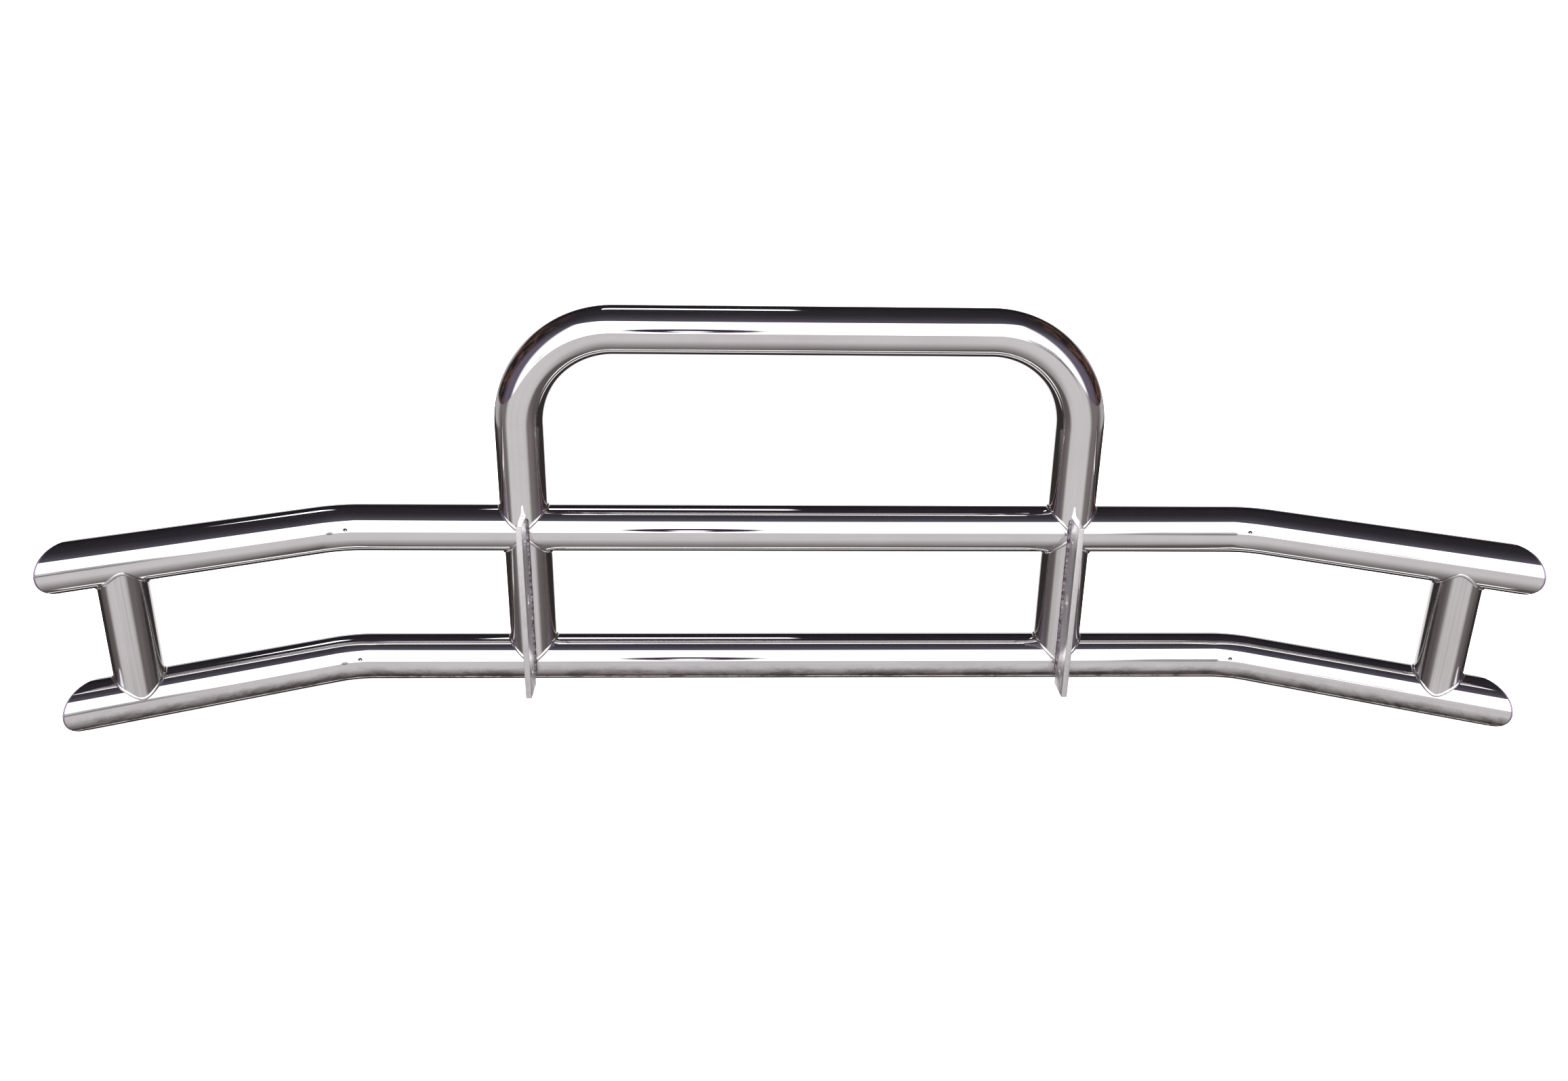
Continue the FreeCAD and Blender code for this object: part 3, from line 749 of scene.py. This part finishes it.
# ---------------------------------------------------------------- stage
def build_world():
    """A pale studio.

    The camera and soft light see plain white. Reflections see a bright wall at the guard's rear, where
    the photo is taken from, a lower wall at its front, a dark roof with a lamp, a lit floor and dim
    sides. Directions are in degrees: elevation above level, bearing from straight to the rear, turn the
    same without its sign, and over the angle from the rear, over the guard, to the front.
    """
    world = bpy.data.worlds.new("studio")
    bpy.context.scene.world = world
    world.use_nodes = True
    n = Nodes(world.node_tree)
    direction = n.add("ShaderNodeTexCoord").outputs["Generated"]
    split = n.add("ShaderNodeSeparateXYZ", {"Vector": direction})
    x, y, z = (split.outputs[i] for i in range(3))
    to_degrees = 180 / math.pi

    def product(*values):
        result = values[0]
        for value in values[1:]:
            result = n.math("MULTIPLY", result, value)
        return result

    def total(*values):
        result = values[0]
        for value in values[1:]:
            result = n.math("ADD", result, value)
        return result

    def within(value, low, high, soft):
        past_low = n.smooth(value, low - soft, low + soft)
        short_of_high = n.smooth(value, high - soft, high + soft, 1, 0)
        return product(past_low, short_of_high)

    elevation = product(n.math("ARCSINE", z), to_degrees)
    bearing = product(n.math("ARCTAN2", product(x, -1.0), y), to_degrees)
    turn = n.math("ABSOLUTE", bearing)
    over = product(n.math("ARCTAN2", z, y), to_degrees)

    # The bright wall at the rear, and a lower one at the front.
    wall = product(within(elevation, -4.0, 51.0, 0.7), n.smooth(turn, 36, 50, 1, 0))
    front_wall = product(within(elevation, -3.0, 13.0, 0.7), n.smooth(turn, 120, 150))

    # The roof: dark, with a long lamp.
    roof = n.ramp(
        n.math("DIVIDE", over, 180.0),
        [
            (0.28, (0.13, 0.105, 0.15)),
            (0.33, (0.08, 0.075, 0.095)),
            (0.40, (0.048, 0.045, 0.056)),
            (0.50, (0.026, 0.024, 0.029)),
            (0.70, (0.019, 0.017, 0.021)),
            (0.82, (0.011, 0.010, 0.012)),
            (0.92, (0.010, 0.009, 0.011)),
        ],
    )
    rise = n.math("MAXIMUM", z, 0.001)
    lamp = product(within(over, 119.5, 127.5, 0.4), within(n.math("DIVIDE", x, rise), -0.052, 0.215, 0.008))

    # The floor, by where a ray from one unit above it would land.
    fall = n.math("MAXIMUM", product(z, -1.0), 0.001)
    aside = n.math("ABSOLUTE", n.math("DIVIDE", x, fall))
    ahead = n.math("DIVIDE", y, fall)
    dim = total(n.smooth(ahead, -0.36, -0.12, 0.033, 0.1), n.smooth(ahead, 0.0, 1.8, 0.0, 0.09))
    sheet = product(
        n.smooth(ahead, -0.3, 1.3, 0.0, 0.42),
        n.smooth(bearing, -62, -46),
        n.smooth(bearing, 32, 50, 1, 0),
    )
    far_sheet = product(n.smooth(ahead, -1.3, -1.0, 0.9, 0), n.smooth(turn, 152, 164))
    far_sides = product(n.smooth(aside, 2.8, 4.0, 0.0, 0.4), n.smooth(turn, 80, 110))
    line = product(within(ahead, -0.38, -0.28, 0.02), n.smooth(aside, 0.9, 1.5, 1.3, 0))
    floor_light = total(dim, sheet, far_sheet, far_sides, line)
    floor_tint = n.blend(n.smooth(floor_light, 0.08, 0.4), (1.0, 0.85, 0.86), (1.0, 0.955, 0.96))
    floor_colour = n.blend(floor_light, (0, 0, 0), floor_tint)

    # The room's sides, brown and dark with a few coloured things.
    clutter = n.noise(n.stretched(direction, (3.0, 3.0, 6.0)), 1.6, 4.0, 0.6)
    side_colour = n.ramp(
        clutter,
        [
            (0.38, (0.012, 0.011, 0.014)),
            (0.5, (0.03, 0.022, 0.02)),
            (0.6, (0.11, 0.055, 0.04)),
            (0.68, (0.16, 0.05, 0.045)),
            (0.74, (0.03, 0.05, 0.1)),
        ],
    )
    at_side = product(within(turn, 80, 140, 12), n.smooth(elevation, 35, 60, 1, 0))

    studio = n.blend(at_side, roof, side_colour)
    studio = n.blend(front_wall, studio, (0.55, 0.54, 0.55))
    studio = n.blend(lamp, studio, (LAMP_LIGHT,) * 3)
    studio = n.blend(n.smooth(elevation, -4.6, -3.4, 1, 0), studio, floor_colour)
    studio = n.blend(wall, studio, (WALL_LIGHT,) * 3)

    # Dark things that stand in front of the bright wall: one in the middle, and one low down on each side.
    def reach(centre_bearing, centre_elevation, half_width, half_height):
        u = n.math("DIVIDE", total(bearing, -centre_bearing), half_width)
        v = n.math("DIVIDE", total(elevation, -centre_elevation), half_height)
        return n.math("SQRT", total(product(u, u), product(v, v)))

    middle_thing = product(
        n.smooth(reach(-1.8, 8.5, 3.7, 9.5), 0.7, 1.0, 1, 0),
        n.smooth(reach(-1.9, 5.5, 1.0, 3.4), 0.5, 1.1),
    )
    ragged = n.smooth(n.noise(n.stretched(direction, (30.0, 30.0, 120.0)), 1.0, 3.0), 0.4, 0.6)
    right_things = product(
        n.smooth(reach(21.0, -2.5, 7.0, 10.0), 0.45, 1.0, 0.95, 0),
        total(0.6, product(0.4, ragged)),
    )
    left_things = product(
        n.smooth(reach(-22.0, 0.6, 4.0, 4.0), 0.5, 1.0, 0.9, 0),
        total(0.3, product(0.7, ragged)),
    )
    studio = n.blend(middle_thing, studio, (0.035, 0.02, 0.05))
    studio = n.blend(n.math("MAXIMUM", right_things, left_things), studio, (0.07, 0.065, 0.08))

    ray = n.add("ShaderNodeLightPath")
    reflected = n.add("ShaderNodeBackground", {"Color": studio, "Strength": 1.0})
    plain = n.add("ShaderNodeBackground", {"Color": (1.0, 1.0, 1.0, 1.0), "Strength": BACKGROUND})
    mix = n.add(
        "ShaderNodeMixShader",
        {0: ray.outputs["Is Glossy Ray"], 1: plain.outputs[0], 2: reflected.outputs[0]},
    )
    n.add("ShaderNodeOutputWorld", {"Surface": mix.outputs[0]})


def build_floor():
    """A wide pale floor at the guard's lowest point. It glows a little, so that shadows on it are faint."""
    size = 40.0
    mesh = bpy.data.meshes.new("floor")
    corners = [(-size, -size, 0), (size, -size, 0), (size, size, 0), (-size, size, 0)]
    mesh.from_pydata(corners, [], [(0, 1, 2, 3)])
    floor = bpy.data.objects.new("floor", mesh)
    bpy.context.scene.collection.objects.link(floor)
    material, n = new_material("pale_floor")
    place = n.add("ShaderNodeTexCoord").outputs["Object"]
    shade = n.noise(place, 3.0, 4.0)
    colour = n.blend(shade, (0.92, 0.92, 0.92), (0.9, 0.9, 0.9))
    matt = n.add("ShaderNodeBsdfDiffuse", {"Color": colour})
    lit = n.add("ShaderNodeEmission", {"Color": colour, "Strength": FLOOR_GLOW})
    both = n.add("ShaderNodeAddShader")
    n.tree.links.new(matt.outputs[0], both.inputs[0])
    n.tree.links.new(lit.outputs[0], both.inputs[1])
    n.add("ShaderNodeOutputMaterial", {"Surface": both.outputs[0]})
    mesh.materials.append(material)
    floor.visible_glossy = False


def build_camera():
    """The viewpoint: behind the guard, a little to its left and above it."""
    level = Vector((-math.sin(CAMERA_YAW), -math.cos(CAMERA_YAW), 0))
    forward = level * math.cos(CAMERA_PITCH) - UP * math.sin(CAMERA_PITCH)
    level_right = Vector((-math.cos(CAMERA_YAW), math.sin(CAMERA_YAW), 0))
    level_up = level_right.cross(forward)
    right = level_right * math.cos(CAMERA_ROLL) + level_up * math.sin(CAMERA_ROLL)
    up = level_up * math.cos(CAMERA_ROLL) - level_right * math.sin(CAMERA_ROLL)
    data = bpy.data.cameras.new("camera")
    data.sensor_width = SENSOR
    data.lens = LENS
    data.clip_start = 0.01
    data.clip_end = 200.0
    camera = bpy.data.objects.new("camera", data)
    camera.matrix_world = Matrix((right, up, -forward)).transposed().to_4x4()
    camera.location = CAMERA_PLACE
    bpy.context.scene.collection.objects.link(camera)
    bpy.context.scene.camera = camera


build_world()
build_floor()
build_camera()
bpy.context.scene.view_settings.view_transform = "Standard"
